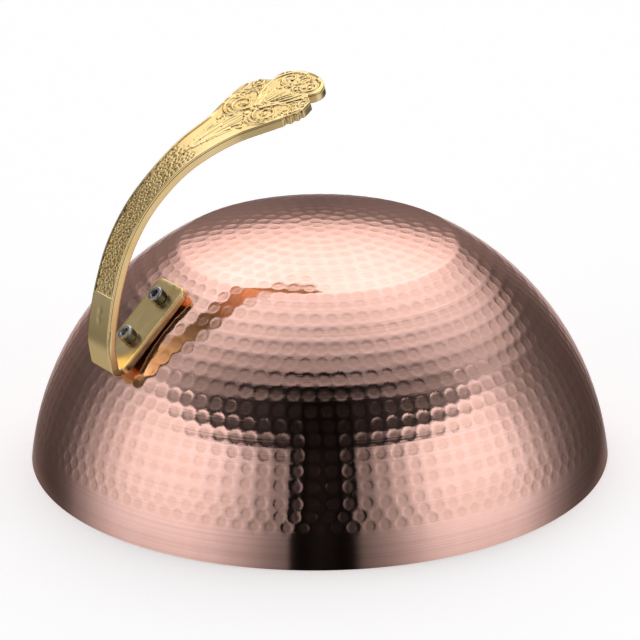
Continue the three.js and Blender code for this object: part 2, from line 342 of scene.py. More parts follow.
def brushed_lines():
    """A bump height of fine parallel lines. Stroke is a position whose X runs across the lines."""
    group, given, out = new_group(
        "brushed_lines",
        [('NodeSocketVector', 'Stroke', None), ('NodeSocketFloat', 'Fineness', 1.0)],
        [('NodeSocketFloat', 'Height')])
    stroke = given.outputs['Stroke']
    fine = noise(group, scaled(group, stroke, (5200, 60, 60)), 1, 2, 0.6)
    broad = noise(group, scaled(group, stroke, (1400, 25, 25)), 1, 2, 0.6)
    bands = noise(group, scaled(group, stroke, (560, 12, 12)), 1, 2, 0.6)
    height = math_node(group, 'ADD', product(group, fine, 0.35), math_node(
        group, 'ADD', product(group, broad, 0.35), product(group, bands, 0.3)))
    group.links.new(product(group, height, given.outputs['Fineness']), out.inputs['Height'])
    return group


HANDLED = handled_metal()
BRUSHED = brushed_lines()


def metal(name, bright, toned, roughness, spread, edge, stroke_attribute=None, bump=0.1, mask=None,
          scratched=(0.5, 0.5, 0.5, 1)):
    """Principled metal with the two shared effects. Edge is its tint at a grazing view.
    Mask is (attribute, colour, added roughness) where the surface is struck, or where it is recessed and the
    colour is painted shade."""
    material = bpy.data.materials.new(name)
    material.use_nodes = True
    tree = material.node_tree
    shader = tree.nodes['Principled BSDF']
    shader.inputs['Metallic'].default_value = 1.0
    place = tree.nodes.new('ShaderNodeTexCoord').outputs['Object']
    handled = tree.nodes.new('ShaderNodeGroup')
    handled.node_tree = HANDLED
    tree.links.new(place, handled.inputs['Position'])
    handled.inputs['Bright'].default_value = bright
    handled.inputs['Toned'].default_value = toned
    handled.inputs['Roughness'].default_value = roughness
    handled.inputs['Spread'].default_value = spread
    shader.inputs['Specular Tint'].default_value = edge
    colour, rough = handled.outputs['Colour'], handled.outputs['Roughness']
    if mask:
        attribute, mask_colour, added = mask
        share = tree.nodes.new('ShaderNodeAttribute')
        share.attribute_name = attribute
        patches = map_range(tree, noise(tree, place, 900, 3, 0.6), 0.3, 0.7, 0.72, 1.0)
        patchy = math_node(tree, 'MULTIPLY', share.outputs['Fac'], patches, clamp=True)
        colour = mix_colour(tree, patchy, colour, mask_colour)
        rough = math_node(tree, 'ADD', rough, product(tree, patchy, added))
    tree.links.new(colour, shader.inputs['Base Color'])
    tree.links.new(rough, shader.inputs['Roughness'])
    if stroke_attribute:
        stroke = tree.nodes.new('ShaderNodeAttribute')
        stroke.attribute_name = stroke_attribute
        lines = tree.nodes.new('ShaderNodeGroup')
        lines.node_tree = BRUSHED
        tree.links.new(stroke.outputs['Vector'], lines.inputs['Stroke'])
        relief = tree.nodes.new('ShaderNodeBump')
        relief.inputs['Strength'].default_value = bump
        relief.inputs['Distance'].default_value = 0.0002
        tree.links.new(lines.outputs['Height'], relief.inputs['Height'])
        tree.links.new(relief.outputs['Normal'], shader.inputs['Normal'])
        streak = map_range(tree, lines.outputs['Height'], 0.44, 0.60, 0, 0.42)
        tree.links.new(mix_colour(tree, streak, colour, scratched), shader.inputs['Base Color'])
    return material


def store_vector(piece, name, values):
    layer = piece.data.attributes.new(name, 'FLOAT_VECTOR', 'POINT')
    layer.data.foreach_set('vector', np.asarray(values, np.float32).ravel())


def store_number(piece, name, values):
    layer = piece.data.attributes.new(name, 'FLOAT', 'POINT')
    layer.data.foreach_set('value', np.asarray(values, np.float32))


# ------------------------------------------------------------------ dome

def dome_profile(offset):
    """Distance from the crown, radius, height and slope along a profile offset under the outside."""
    edge_slope = math.asin(CROWN_EDGE_RADIUS / CROWN_CURVE_RADIUS)
    edge = CROWN_CURVE_RADIUS * edge_slope
    wall_start = math.asin(CROWN_EDGE_RADIUS / WALL_RADIUS)
    total = edge + WALL_RADIUS * (math.acos(-WALL_CENTRE_Z / WALL_RADIUS) - wall_start)
    s = np.linspace(0, total, 8001)
    slope = s / CROWN_CURVE_RADIUS
    slope = slope + (wall_start + (s - edge) / WALL_RADIUS - slope) * smoothstep(s, edge - 2, edge + 2)
    step = s[1] - s[0]
    middle = (slope[1:] + slope[:-1]) / 2
    radius = np.concatenate([[0], np.cumsum(np.cos(middle) * step)])
    drop = np.concatenate([[0], np.cumsum(np.sin(middle) * step)])
    radius *= RIM_RADIUS / radius[-1]
    height = drop[-1] - drop
    return s, radius - offset * np.sin(slope), height - offset * np.cos(slope), slope


# Rows of hammer marks on the wall: polar angle in degrees, how many, how deep and how wide they are.
WALL_ROWS = [
    (29.82, 60, 0.074, 3.35), (31.95, 63, 0.074, 3.4), (34.76, 70, 0.082, 3.45), (37.87, 76, 0.082, 3.45),
    (41.11, 81, 0.090, 3.5), (44.11, 84, 0.090, 3.6), (47.22, 88, 0.090, 3.65), (50.18, 92, 0.090, 3.7),
    (53.38, 95, 0.090, 3.75), (56.30, 99, 0.090, 3.75), (58.96, 103, 0.090, 3.65), (61.83, 103, 0.082, 3.4),
    (64.57, 103, 0.082, 3.3), (67.53, 103, 0.082, 3.3), (70.70, 103, 0.082, 3.3), (73.05, 114, 0.074, 3.15),
    (75.08, 114, 0.074, 3.1),
]
STAGGERED_ROW = 15
DEEP_ROWS = 11
CROWN_RINGS = 9
CROWN_RING_STEP = 7.75
CROWN_MARK_STEP = 7.9
CROWN_MARK = (0.057, 3.2)  # depth and size
FIRST_MARK_TURN = math.radians(9.3)
MARK_RINGS = ((0.0, 1), (0.45, 5), (0.74, 11), (0.90, 13), (1.04, 13))  # share of a mark's size, points
RIM_SIDES = 288
RIDGE_SIDES = 330
BAND_SIDES = 300


def mark_rows():
    """Rows of marks from the rim end of the crown outwards, then the crown's own rings inwards."""
    edge = CROWN_CURVE_RADIUS * math.asin(CROWN_EDGE_RADIUS / CROWN_CURVE_RADIUS)
    wall_start = math.asin(CROWN_EDGE_RADIUS / WALL_RADIUS)
    rows = [(edge + WALL_RADIUS * (math.radians(a) - wall_start), count, depth, size)
            for a, count, depth, size in WALL_ROWS]
    first = rows[0][0]
    for k in range(1, CROWN_RINGS + 1):
        place = first - CROWN_RING_STEP * k
        rows.append((place, max(6, round(2 * math.pi * place / CROWN_MARK_STEP)), *CROWN_MARK))
    return rows


def hammer_marks():
    """Every mark as [distance from crown, angle, radius of mark, depth]."""
    marks = [[0.0, 0.0, CROWN_MARK[1], CROWN_MARK[0]]]
    start = CAMERA_AZIMUTH - math.pi / 2 + FIRST_MARK_TURN
    for row, (place, count, depth, size) in enumerate(mark_rows()):
        phase = 0.5 if row == STAGGERED_ROW else 0.0
        for k in range(count):
            marks.append([place + chance.normal(0, 0.10),
                          start + 2 * math.pi * (k + phase + chance.normal(0, 0.018)) / count,
                          size * (1 + chance.normal(0, 0.025)), depth * (1 + chance.normal(0, 0.10))])
    return np.array(marks)


def row_ridges():
    """Distances of the soft ridges that hammering row by row leaves between the rows of the wall."""
    places = np.array([row[0] for row in mark_rows()[:len(WALL_ROWS)]])
    middles = (places[1:] + places[:-1]) / 2
    return np.concatenate([[places[0] - (middles[0] - places[0])], middles, [2 * places[-1] - middles[-1]]])


def hole_rings(offset):
    """Points of the two screw holes where they cut a surface that lies offset under the outside."""
    rings = []
    for x in SCREW_PLACES.values():
        a = np.arange(HOLE_SIDES) * 2 * math.pi / HOLE_SIDES
        local = np.stack([x + HOLE_RADIUS * np.cos(a), HOLE_RADIUS * np.sin(a)], 1)
        depth = np.sqrt((WALL_RADIUS - offset) ** 2 - (local ** 2).sum(1)) - FOOT_RADIUS
        rings.append(np.concatenate([local, depth[:, None]], 1) @ JOINT_AXES.T + JOINT_ORIGIN)
    return rings


def joint_coordinates(points):
    return (points - JOINT_ORIGIN) @ JOINT_AXES


def flat_ring(place, count, offset=0.0):
    """Evenly spaced flat points, all at one distance from the crown."""
    a = (np.arange(count) + offset) * 2 * math.pi / count
    return np.stack([place * np.cos(a), place * np.sin(a)], 1)


def thinned(flat, cell=0.42):
    """Leaves out points that fall almost on each other where marks overlap."""
    cells = {}
    for i, key in enumerate(map(tuple, np.floor(flat / cell).astype(int))):
        cells.setdefault(key, i)
    return flat[list(cells.values())]


def outside_points(marks, ridges, s, radius):
    """The outside laid out flat, as distance from the crown by angle: ridges, marks, then bands."""
    points = [flat_ring(place, RIDGE_SIDES) for place in ridges[::-1]]
    for place, angle, size, _ in marks:
        r = max(np.interp(place, s, radius), 1e-3)
        for share, count in MARK_RINGS:
            a = (np.arange(count) + chance.uniform(0, 1)) * 2 * math.pi / count
            along, across = size * share * np.cos(a), size * share * np.sin(a)
            if place < 1:
                points.append(np.stack([along, across], 1))
            else:
                reach, turn = place + along, angle + across / r
                points.append(np.stack([reach * np.cos(turn), reach * np.sin(turn)], 1))
    bands = np.arange(marks[:, 0].max() + 5.2, s[-1] - 1.2, 2.6)
    points += [flat_ring(place, BAND_SIDES, 0.5 * (k % 2)) for k, place in enumerate(bands)]
    return thinned(np.concatenate(points))


def inside_points(s, radius):
    """The inside laid out flat, in rings about 5 mm apart."""
    rings = [[[0.0, 0.0]]]
    for k, place in enumerate(np.linspace(6, s[-1] - 5, 40)):
        count = max(12, int(2 * math.pi * np.interp(place, s, radius) / 5.0))
        rings.append(flat_ring(place, count, 0.5 * (k % 2)))
    return np.concatenate(rings)


def flattened(points, profile):
    """Points of the sheet laid out flat."""
    s, radius, height, _ = profile
    place = np.interp(np.arctan2(np.hypot(points[:, 0], points[:, 1]), points[:, 2] - WALL_CENTRE_Z),
                      np.arctan2(radius, height - WALL_CENTRE_Z), s)
    turn = np.arctan2(points[:, 1], points[:, 0])
    return np.stack([place * np.cos(turn), place * np.sin(turn)], 1)


def on_profile(flat, profile):
    """Where flat points lie on a face of the sheet, with the normals and the distances from the crown."""
    s, radius, height, slope = profile
    place = np.hypot(flat[:, 0], flat[:, 1])
    turn = np.arctan2(flat[:, 1], flat[:, 0])
    r, z, t = (np.interp(place, s, values) for values in (radius, height, slope))
    points = np.stack([r * np.cos(turn), r * np.sin(turn), z], 1)
    return points, np.stack([np.sin(t) * np.cos(turn), np.sin(t) * np.sin(turn), np.cos(t)], 1), place


def near_hole(points, margin):
    """Which points of the sheet lie within a margin of a screw hole's edge."""
    local = joint_coordinates(points)
    close = [np.hypot(local[:, 0] - x, local[:, 1]) < HOLE_RADIUS + margin for x in SCREW_PLACES.values()]
    return np.any(close, 0) & (points[:, 0] < 0)


def sheet_face(flat, profile, outside, offset):
    """One face of the sheet from flat points. Its last points are those of the two holes and of the rim."""
    flat = flat[~near_hole(on_profile(flat, profile)[0], 0.5)]
    holes = hole_rings(offset)
    rim = flat_ring(outside[0][-1], RIM_SIDES)
    whole = np.concatenate([flat] + [flattened(hole, outside) for hole in holes] + [rim])
    tris = triangulate(whole)
    tris = tris[~near_hole(on_profile(whole[tris].mean(1), profile)[0], -0.02)]
    points, normals, place = on_profile(whole, profile)
    first, last = len(flat), len(flat) + 2 * HOLE_SIDES
    points[first:last] = np.concatenate(holes)
    borders = [range(first, first + HOLE_SIDES), range(first + HOLE_SIDES, last), range(last, len(whole))]
    return whole, points, normals, place, tris, borders


def pressed(whole, place, marks, ridges, s, radius):
    """How deep each flat point is pressed in, and how far it is inside a mark, from 0 to 1."""
    sink, marked = np.zeros(len(whole)), np.zeros(len(whole))
    order = np.argsort(place)
    sorted_place = place[order]
    angle = np.arctan2(whole[:, 1], whole[:, 0])
    # each mark is a flat-bottomed dish with a soft lip, and the deepest wins
    for centre, turn, size, depth in marks:
        near = order[slice(*np.searchsorted(sorted_place, [centre - 1.2 * size, centre + 1.2 * size]))]
        if centre < 1:
            distance = np.hypot(whole[near, 0], whole[near, 1])
        else:
            r = np.interp(place[near], s, radius)
            across = r * np.abs((angle[near] - turn + math.pi) % (2 * math.pi) - math.pi)
            distance = np.hypot(across, place[near] - centre)
        hit = distance < 1.2 * size
        near, share = near[hit], distance[hit] / size
        uphill = (centre - place[near]) / np.maximum(distance[hit], 0.3)
        dish = depth * (1 - smoothstep(share, 0.70, 1.04) * 0.94 - 0.06 * np.clip(share, 0, 1) ** 2)
        dish *= 1 + 0.38 * uphill * np.minimum(share, 1)
        dish[share >= 1.04] = 0
        sink[near] = np.maximum(sink[near], dish)
        marked[near] = np.maximum(marked[near], 1 - smoothstep(share, 0.78, 1.0))
    # each row is struck nearly straight between its ridges
    for row, (low, high) in enumerate(zip(ridges[:-1], ridges[1:])):
        near = order[slice(*np.searchsorted(sorted_place, [low, high]))]
        straight = 0.95 if row < DEEP_ROWS else 0.6
        sink[near] += straight * (place[near] - low) * (high - place[near]) / (2 * WALL_RADIUS)
    return sink, marked


def turning(whole, place):
    """Positions along the strokes of the brush, which run round the dome."""
    angle = np.arctan2(whole[:, 1], whole[:, 0])
    return np.stack([place, np.cos(angle) * 30, np.sin(angle) * 30], 1) * MM


def dome():
    outside, inside = dome_profile(0), dome_profile(SHEET)
    s, radius = outside[:2]
    marks, ridges = hammer_marks(), row_ridges()
    flat, outer, normals, place, outer_tris, borders = sheet_face(
        outside_points(marks, ridges, s, radius), outside, outside, 0)
    sink, marked = pressed(flat, place, marks, ridges, s, radius)
    sink[borders[0][0]:] = 0
    outer -= normals * sink[:, None]

    inner_flat, inner, _, inner_place, inner_tris, inner_borders = sheet_face(
        inside_points(s, radius), inside, outside, SHEET)
    inner[:, 2] = np.maximum(inner[:, 2], 0)

    base = len(outer)
    faces = outer_tris.tolist() + (inner_tris[:, ::-1] + base).tolist()
    shifted = [[base + k for k in border] for border in inner_borders]
    faces += ring_band(shifted[2], borders[2])
    for hole_out, hole_in in zip(borders[:2], shifted[:2]):
        faces += ring_band(hole_out, hole_in)

    piece = make_piece("hammered_dome", np.concatenate([outer, inner]), faces)
    store_vector(piece, "turning", np.concatenate([turning(flat, place), turning(inner_flat, inner_place)]))
    store_number(piece, "hammered", np.concatenate([marked, np.zeros(len(inner))]))
    piece.data.materials.append(copper())
    piece.data.materials.append(tin())
    slots = np.zeros(len(piece.data.polygons), np.int32)
    slots[len(outer_tris):len(outer_tris) + len(inner_tris)] = 1
    piece.data.polygons.foreach_set('material_index', slots)
    finish_piece(piece, 40)
    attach(piece, "root")
    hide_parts("dome_shell")


def finish_piece(piece, angle):
    """Turns the faces outward and shades the piece smooth up to a crease angle."""
    bpy.ops.object.select_all(action='DESELECT')
    bpy.context.view_layer.objects.active = piece
    piece.select_set(True)
    bpy.ops.object.mode_set(mode='EDIT')
    bpy.ops.mesh.select_all(action='SELECT')
    bpy.ops.mesh.normals_make_consistent(inside=False)
    bpy.ops.object.mode_set(mode='OBJECT')
    bpy.ops.object.shade_smooth_by_angle(angle=math.radians(angle))
    piece.select_set(False)


def copper():
    return metal("hammered_copper", (0.92, 0.59, 0.52, 1), (0.86, 0.52, 0.44, 1), 0.075, 0.06,
                 (0.95, 0.74, 0.68, 1), stroke_attribute="turning", bump=0.20,
                 mask=("hammered", (0.82, 0.50, 0.41, 1), 0.09), scratched=(0.66, 0.39, 0.32, 1))


def tin():
    return metal("wiped_tin", (0.72, 0.71, 0.69, 1), (0.58, 0.57, 0.55, 1), 0.32, 0.15, (0.9, 0.9, 0.88, 1),
                 "turning", 0.3)


# ------------------------------------------------------------------ handle

def joint_point(x, z=0.0):
    return JOINT_ORIGIN + JOINT_AXES @ np.array([x, 0, z])


bend_start = joint_point(-FOOT_BOTTOM)
bend_centre = joint_point(-FOOT_BOTTOM, BEND_OUTER_RADIUS)


def on_bend(turn):
    a = FOOT_ANGLE - math.pi / 2 - turn
    return bend_centre + BEND_OUTER_RADIUS * np.array([math.cos(a), 0, math.sin(a)])


ARM_POINTS = [on_bend(BEND_TURN)] + [np.array([x, 0, z]) for x, z in (
    (-132.6, 90), (-130.8, 104.5), (-127.2, 119.7), (-120.1, 138.8), (-107.8, 157.2),
    (-90, 173), (-73.9, 182.3), (-50, 190.6), (-22, 198.8), (-1, 204.6))]


def smooth_line(points, power, samples=60):
    """A Catmull-Rom curve through points. Power 0.5 is centripetal, 0 is uniform."""
    ends = [2 * points[0] - points[1]] + list(points) + [2 * points[-1] - points[-2]]
    line = []
    for p0, p1, p2, p3 in zip(ends, ends[1:], ends[2:], ends[3:]):
        t1, t2, t3 = np.cumsum([np.linalg.norm(b - a) ** power for a, b in ((p0, p1), (p1, p2), (p2, p3))])
        for t in np.linspace(t1, t2, samples, endpoint=False):
            a1 = (t1 - t) / t1 * p0 + t / t1 * p1
            a2 = (t2 - t) / (t2 - t1) * p1 + (t - t1) / (t2 - t1) * p2
            a3 = (t3 - t) / (t3 - t2) * p2 + (t - t2) / (t3 - t2) * p3
            b1 = (t2 - t) / t2 * a1 + t / t2 * a2
            b2 = (t3 - t) / (t3 - t1) * a2 + (t - t1) / (t3 - t1) * a3
            line.append((t2 - t) / (t2 - t1) * b1 + (t - t1) / (t2 - t1) * b2)
    line.append(points[-1])
    return np.array(line)


def strap_line():
    """Distances and points along the strap's decorated face, from the foot's upper end to the tip."""
    foot_length = FOOT_TOP + FOOT_BOTTOM
    foot = np.array([joint_point(FOOT_TOP - d) for d in np.linspace(0, foot_length, 60, endpoint=False)])
    bend = np.array([on_bend(BEND_TURN * k / 60) for k in range(60)])
    arm = smooth_line(ARM_POINTS, 0.5)
    line = np.concatenate([foot, bend, arm])
    length = np.concatenate([[0], np.cumsum(np.linalg.norm(np.diff(line, axis=0), axis=1))])
    return length, line


STRAP_DISTANCE, STRAP_POINTS = strap_line()
FOOT_LENGTH = FOOT_TOP + FOOT_BOTTOM
ARM_START = FOOT_LENGTH + BEND_OUTER_RADIUS * BEND_TURN
STRAP_LENGTH = STRAP_DISTANCE[-1]


def on_strap(distance):
    point = np.stack([np.interp(distance, STRAP_DISTANCE, STRAP_POINTS[:, k]) for k in range(3)], -1)
    ahead = np.stack([np.interp(distance + 0.6, STRAP_DISTANCE, STRAP_POINTS[:, k]) for k in range(3)], -1)
    behind = np.stack([np.interp(distance - 0.6, STRAP_DISTANCE, STRAP_POINTS[:, k]) for k in range(3)], -1)
    along = ahead - behind
    return point, along / np.linalg.norm(along, axis=-1, keepdims=True)


def bend_strap(flat, depth):
    """Places flat strap points [distance, across] at a depth under the decorated face."""
    point, along = on_strap(flat[:, 0])
    inward = np.stack([along[:, 2], 0 * along[:, 0], -along[:, 0]], 1)
    placed = point + inward * depth[:, None]
    placed[:, 1] += flat[:, 1]
    return placed


def strap_outline(step=0.45):
    """The strap's outline laid flat, all the way round, anticlockwise, at even steps."""
    corner = [(FOOT_CORNER - FOOT_CORNER * math.cos(a),
               FOOT_HALF_WIDTH - FOOT_CORNER + FOOT_CORNER * math.sin(a))
              for a in np.linspace(0, math.pi / 2, 12)]
    start, control = np.array([[FOOT_LENGTH - 4, FOOT_HALF_WIDTH], [FOOT_LENGTH - 0.4, FOOT_HALF_WIDTH]])
    end = np.array([FOOT_LENGTH, BEND_HALF_WIDTH])
    waist = [(1 - t) ** 2 * start + 2 * t * (1 - t) * control + t * t * end for t in np.linspace(0, 1, 12)]
    tip = STRAP_LENGTH
    arm = smooth_line([np.array(p, float) for p in (
        (ARM_START, BEND_HALF_WIDTH), (ARM_START + 27, 9.1), (ARM_START + 63, 8.6), (ARM_START + 88, 8.6),
        (ARM_START + 110, 9.3), (tip - 76, 11.6), (tip - 58.5, 14.3), (tip - 46, 19.2), (tip - 36, 23.1),
        (tip - 27, 25.3), (tip - 18.5, 22))], 0, 24)
    round_tip = [(tip - TIP_LENGTH + TIP_LENGTH * math.cos(a), TIP_HALF_WIDTH * math.sin(a))
                 for a in np.linspace(0.66 * math.pi, 0.0, 50)]
    half = np.array([(0, 0)] + corner + [tuple(p) for p in waist] + [tuple(p) for p in arm] + round_tip)
    line = np.concatenate([half, (half * [1, -1])[-2:0:-1], half[:1]])
    length = np.concatenate([[0], np.cumsum(np.linalg.norm(np.diff(line, axis=0), axis=1))])
    # fine steps along the ornament, wider ones on the foot
    wanted = []
    at = 0.0
    while at < length[-1]:
        wanted.append(at)
        u = np.interp(at, length, line[:, 0])
        at += step if u > 94 else 0.9
    wanted = np.array(wanted)
    out = np.stack([np.interp(wanted, length, line[:, k]) for k in range(2)], 1)
    return out[::-1]


def moved_inwards(outline, amounts):
    """The outline moved inwards, by one distance or by one for each point."""
    tangent = np.roll(outline, -1, 0) - np.roll(outline, 1, 0)
    tangent /= np.linalg.norm(tangent, axis=1, keepdims=True)
    inward = np.stack([-tangent[:, 1], tangent[:, 0]], 1)
    for _ in range(2):
        inward = inward + np.roll(inward, 1, 0) + np.roll(inward, -1, 0)
        inward /= np.linalg.norm(inward, axis=1, keepdims=True)
    return outline + inward * np.asarray(amounts).reshape(-1, 1)


# ornament of the tip: back is the distance from the tip's end, side the distance from the centre line

def spiral(back, side, outer, inner, start, turns, samples=70):
    t = np.linspace(0, 1, samples)
    r = outer + (inner - outer) * t ** 0.8
    a = math.radians(start) + turns * 2 * math.pi * t
    return np.stack([back + r * np.cos(a), side + r * np.sin(a)], 1)


def stem(*points):
    return smooth_line([np.array(p, float) for p in points], 0.5, 16)


BEADS = [  # line, half width at start, half width at end, height
    # husk of long leaves along the stem
    (stem((86, 0.0), (78, 0.4), (70, 0.9), (60, 1.3), (50, 1.2), (45.5, 1.0)), 0.55, 0.9, 0.42),
    (stem((76, 0.8), (69, 2.2), (62, 3.6), (56, 4.6), (52, 7.0), (51.5, 9.0), (53.4, 10.0), (54.8, 8.8)),
     0.45, 0.9, 0.55),
    (stem((68, 1.8), (60, 2.6), (53, 3.2), (47.5, 3.2)), 0.42, 0.7, 0.45),
    # paired scrolls
    (spiral(38.4, 10.0, 8.6, 1.6, 200, 1.55), 1.0, 0.55, 0.62),
    (stem((47.2, 3.4), (49.0, 7.5), (48.6, 12.0), (45.6, 16.4), (41.0, 19.4), (36.5, 20.2)),
     0.45, 0.95, 0.55),
    (stem((45.6, 4.6), (47.2, 8.0), (46.9, 11.6), (44.6, 14.8)), 0.35, 0.35, 0.4),
    # outer curls on the shoulders of the tip
    (spiral(36.4, 18.6, 2.6, 0.7, 30, 1.2, 40), 0.7, 0.45, 0.55),
    (spiral(21.8, 20.6, 3.7, 0.9, 190, 1.35, 46), 0.8, 0.5, 0.6),
    (stem((33.0, 19.8), (29.5, 22.0), (25.6, 23.4), (22.0, 24.2)), 0.5, 0.9, 0.5),
    # large stems that run out to the rounded end and curl in
    (stem((40.0, 1.0), (35.5, 3.8), (30.6, 7.4), (25.4, 11.0), (19.5, 14.2), (12.6, 16.0), (6.6, 14.0),
          (2.6, 9.6), (1.9, 5.2)), 0.6, 1.25, 0.66),
    (spiral(9.4, 8.6, 5.0, 1.2, 320, 1.35), 1.1, 0.55, 0.62),
    (stem((37.0, 1.2), (31.5, 4.0), (26.0, 7.0), (20.6, 9.6), (16.4, 10.9)), 0.35, 0.85, 0.5),
    # fan in the middle
    (stem((36.0, 0.0), (30.0, 0.0), (24.0, 0.0), (19.0, 0.0)), 0.35, 0.8, 0.5),
    (stem((35.6, 0.6), (29.4, 1.8), (24.0, 3.1), (20.0, 4.5)), 0.3, 0.75, 0.48),
    (stem((35.0, 1.0), (28.6, 3.2), (23.4, 5.4), (19.6, 7.4)), 0.3, 0.7, 0.46),
    (spiral(14.6, 3.3, 2.9, 0.8, 100, 1.3, 44), 0.75, 0.45, 0.56),
    (stem((8.4, 2.4), (5.6, 2.2), (3.6, 1.2), (3.0, 0.0)), 0.5, 0.7, 0.5),
    (stem((9.0, 0.0), (5.5, 0.0)), 0.7, 0.5, 0.5),
]

BOSSES = [  # back, side, radius, height
    (43.0, 0.0, 2.0, 0.62), (38.4, 10.0, 1.5, 0.66), (9.4, 8.6, 1.3, 0.66), (21.8, 20.6, 1.0, 0.6),
    (36.4, 18.6, 0.8, 0.58), (14.6, 3.3, 0.9, 0.58), (53.4, 8.6, 0.9, 0.55),
]

DRILLED = [  # back, side, radius
    (74, 3.4, 0.5), (72.2, 0.0, 0.5), (71.0, 4.4, 0.4), (66, 5.6, 0.4), (58.5, 0.0, 0.42),
    (48.5, 4.8, 0.55), (46.2, 1.8, 0.6), (40.2, 1.9, 0.45), (44.5, 10.2, 0.5), (32.4, 12.4, 0.55),
    (33.4, 8.0, 0.45), (30.4, 15.6, 0.5), (27.6, 18.6, 0.5), (29.0, 10.8, 0.4), (24.6, 16.4, 0.5),
    (18.0, 17.2, 0.5), (13.4, 13.4, 0.45), (17.4, 6.4, 0.45), (12.8, 5.8, 0.45), (12.0, 1.6, 0.45),
    (5.6, 4.6, 0.45), (5.9, 11.8, 0.45), (22.6, 1.5, 0.35), (26.4, 4.6, 0.32), (42.0, 15.2, 0.45),
    (50.4, 11.4, 0.5), (56.8, 6.8, 0.42),
]

# rings and rays of the rosettes, and the fine leaves between the stems
BEADS += [(spiral(38.4, 10.0, 5.2, 1.6, 20, 1.1), 0.45, 0.35, 0.52),
          (spiral(21.8, 20.6, 2.2, 0.8, 10, 1.0, 30), 0.4, 0.3, 0.5)]
BEADS += [(stem((35.5, 0.8 + 0.15 * side), (30.5, 0.8 + 0.45 * side), (26.5, side)), 0.50, 0.70, 0.42)
          for side in (6.2, 8.6, 11.0, 13.4)]
BEADS += [(stem((78.0, 0.25 * side), (66.0, 0.7 * side), (57.0, side)), 0.55, 0.85, 0.36)
          for side in (2.6, 5.2, 7.6)]
BEADS += [(stem((35.8 - 3.0 * k, 21.6 + 0.35 * k), (33.8 - 3.0 * k, 19.6), (33.2 - 3.0 * k, 17.2)),
           0.5, 0.3, 0.48) for k in range(3)]


def leaves_round(back, side, radius, angles):
    """Small curling leaves set round a scroll."""
    def place(r, degrees):
        return back + r * math.cos(math.radians(degrees)), side + r * math.sin(math.radians(degrees))
    return [(stem(place(radius, a), place(radius + 1.7, a + 9), place(radius + 2.3, a + 24)), 0.75, 0.42, 0.5)
            for a in angles]


BEADS += leaves_round(38.4, 10.0, 9.9, (58, 84, 110, 136, 218, 244, 330))
BEADS += leaves_round(9.4, 8.6, 6.1, (96, 140, 184, 262))
BEADS += leaves_round(21.8, 20.6, 4.9, (190, 232, 274))
BEADS += leaves_round(14.6, 3.3, 3.6, (20, 75, 130))
BEADS += [(spiral(26.6, 17.4, 2.3, 0.7, 40, 1.1, 34), 0.6, 0.4, 0.5),
          (spiral(4.9, 3.4, 1.9, 0.6, 60, 1.0, 30), 0.55, 0.4, 0.5),
          (spiral(43.6, 15.4, 1.7, 0.6, 90, 1.0, 28), 0.5, 0.4, 0.45)]

VEINS = [  # engraved lines in the leaves: line, half width, depth
    (spiral(38.4, 10.0, 6.9, 2.6, 200, 1.2), 0.28, 0.22),
    (stem((44, 12.6), (42.2, 15.6), (39.0, 17.6)), 0.25, 0.2),
    (stem((43.0, 11.6), (41.2, 14.2), (38.4, 15.8)), 0.22, 0.2),
    (stem((34.6, 2.4), (29.4, 5.9), (24.0, 9.4), (18.0, 12.4), (12.4, 13.9)), 0.25, 0.2),
    (stem((64, 5.2), (59.6, 6.2), (56.4, 8.0)), 0.25, 0.2),
    (stem((66, 4.0), (61, 5.0), (57.6, 6.2)), 0.22, 0.18),
]
VEINS += [(np.array([[38.4 + r * math.cos(a), 10.0 + r * math.sin(a)] for r in (6.4, 8.4)]), 0.2, 0.2)
          for a in np.linspace(0, 2 * math.pi, 22, endpoint=False)]


def line_relief(flat, line, half_start, half_end):
    """Distance of each flat point from a line, as a share of the line's half width at that place."""
    share = np.full(len(flat), 9.0)
    near = np.where(np.all((flat > line.min(0) - 2) & (flat < line.max(0) + 2), 1))[0]
    points, result = flat[near], share[near]
    for k, (a, b) in enumerate(zip(line, line[1:])):
        ab = b - a
        t = np.clip(((points - a) @ ab) / max(ab @ ab, 1e-9), 0, 1)
        d = np.hypot(*(points - a - t[:, None] * ab).T)
        result = np.minimum(result, d / (half_start + (half_end - half_start) * (k + t) / (len(line) - 1)))
    share[near] = result
    return share


PIT_STEP = 2.25
PANEL_START = 98.0


def pits():
    """Centres, sizes and turns of the punched pits in the arm's panel."""
    found = []
    row, u = 0, PANEL_START + 2.3
    while u < STRAP_LENGTH - 78:
        for k in range(-5, 6):
            v = (k + 0.5 * (row % 2)) * PIT_STEP
            found.append((u + chance.normal(0, 0.46), v + chance.normal(0, 0.44), chance.uniform(0.50, 0.80),
                          chance.uniform(1.0, 1.7), chance.normal(0.5, 1.1)))
        row += 1
        u += PIT_STEP * 0.88
    return np.array(found)


def edge_distance(flat, outline):
    """Distance of each flat point from the outline."""
    tree = KDTree(len(outline))
    for i, p in enumerate(outline):
        tree.insert((p[0], p[1], 0), i)
    tree.balance()
    return np.array([tree.find((p[0], p[1], 0))[2] for p in flat.tolist()])


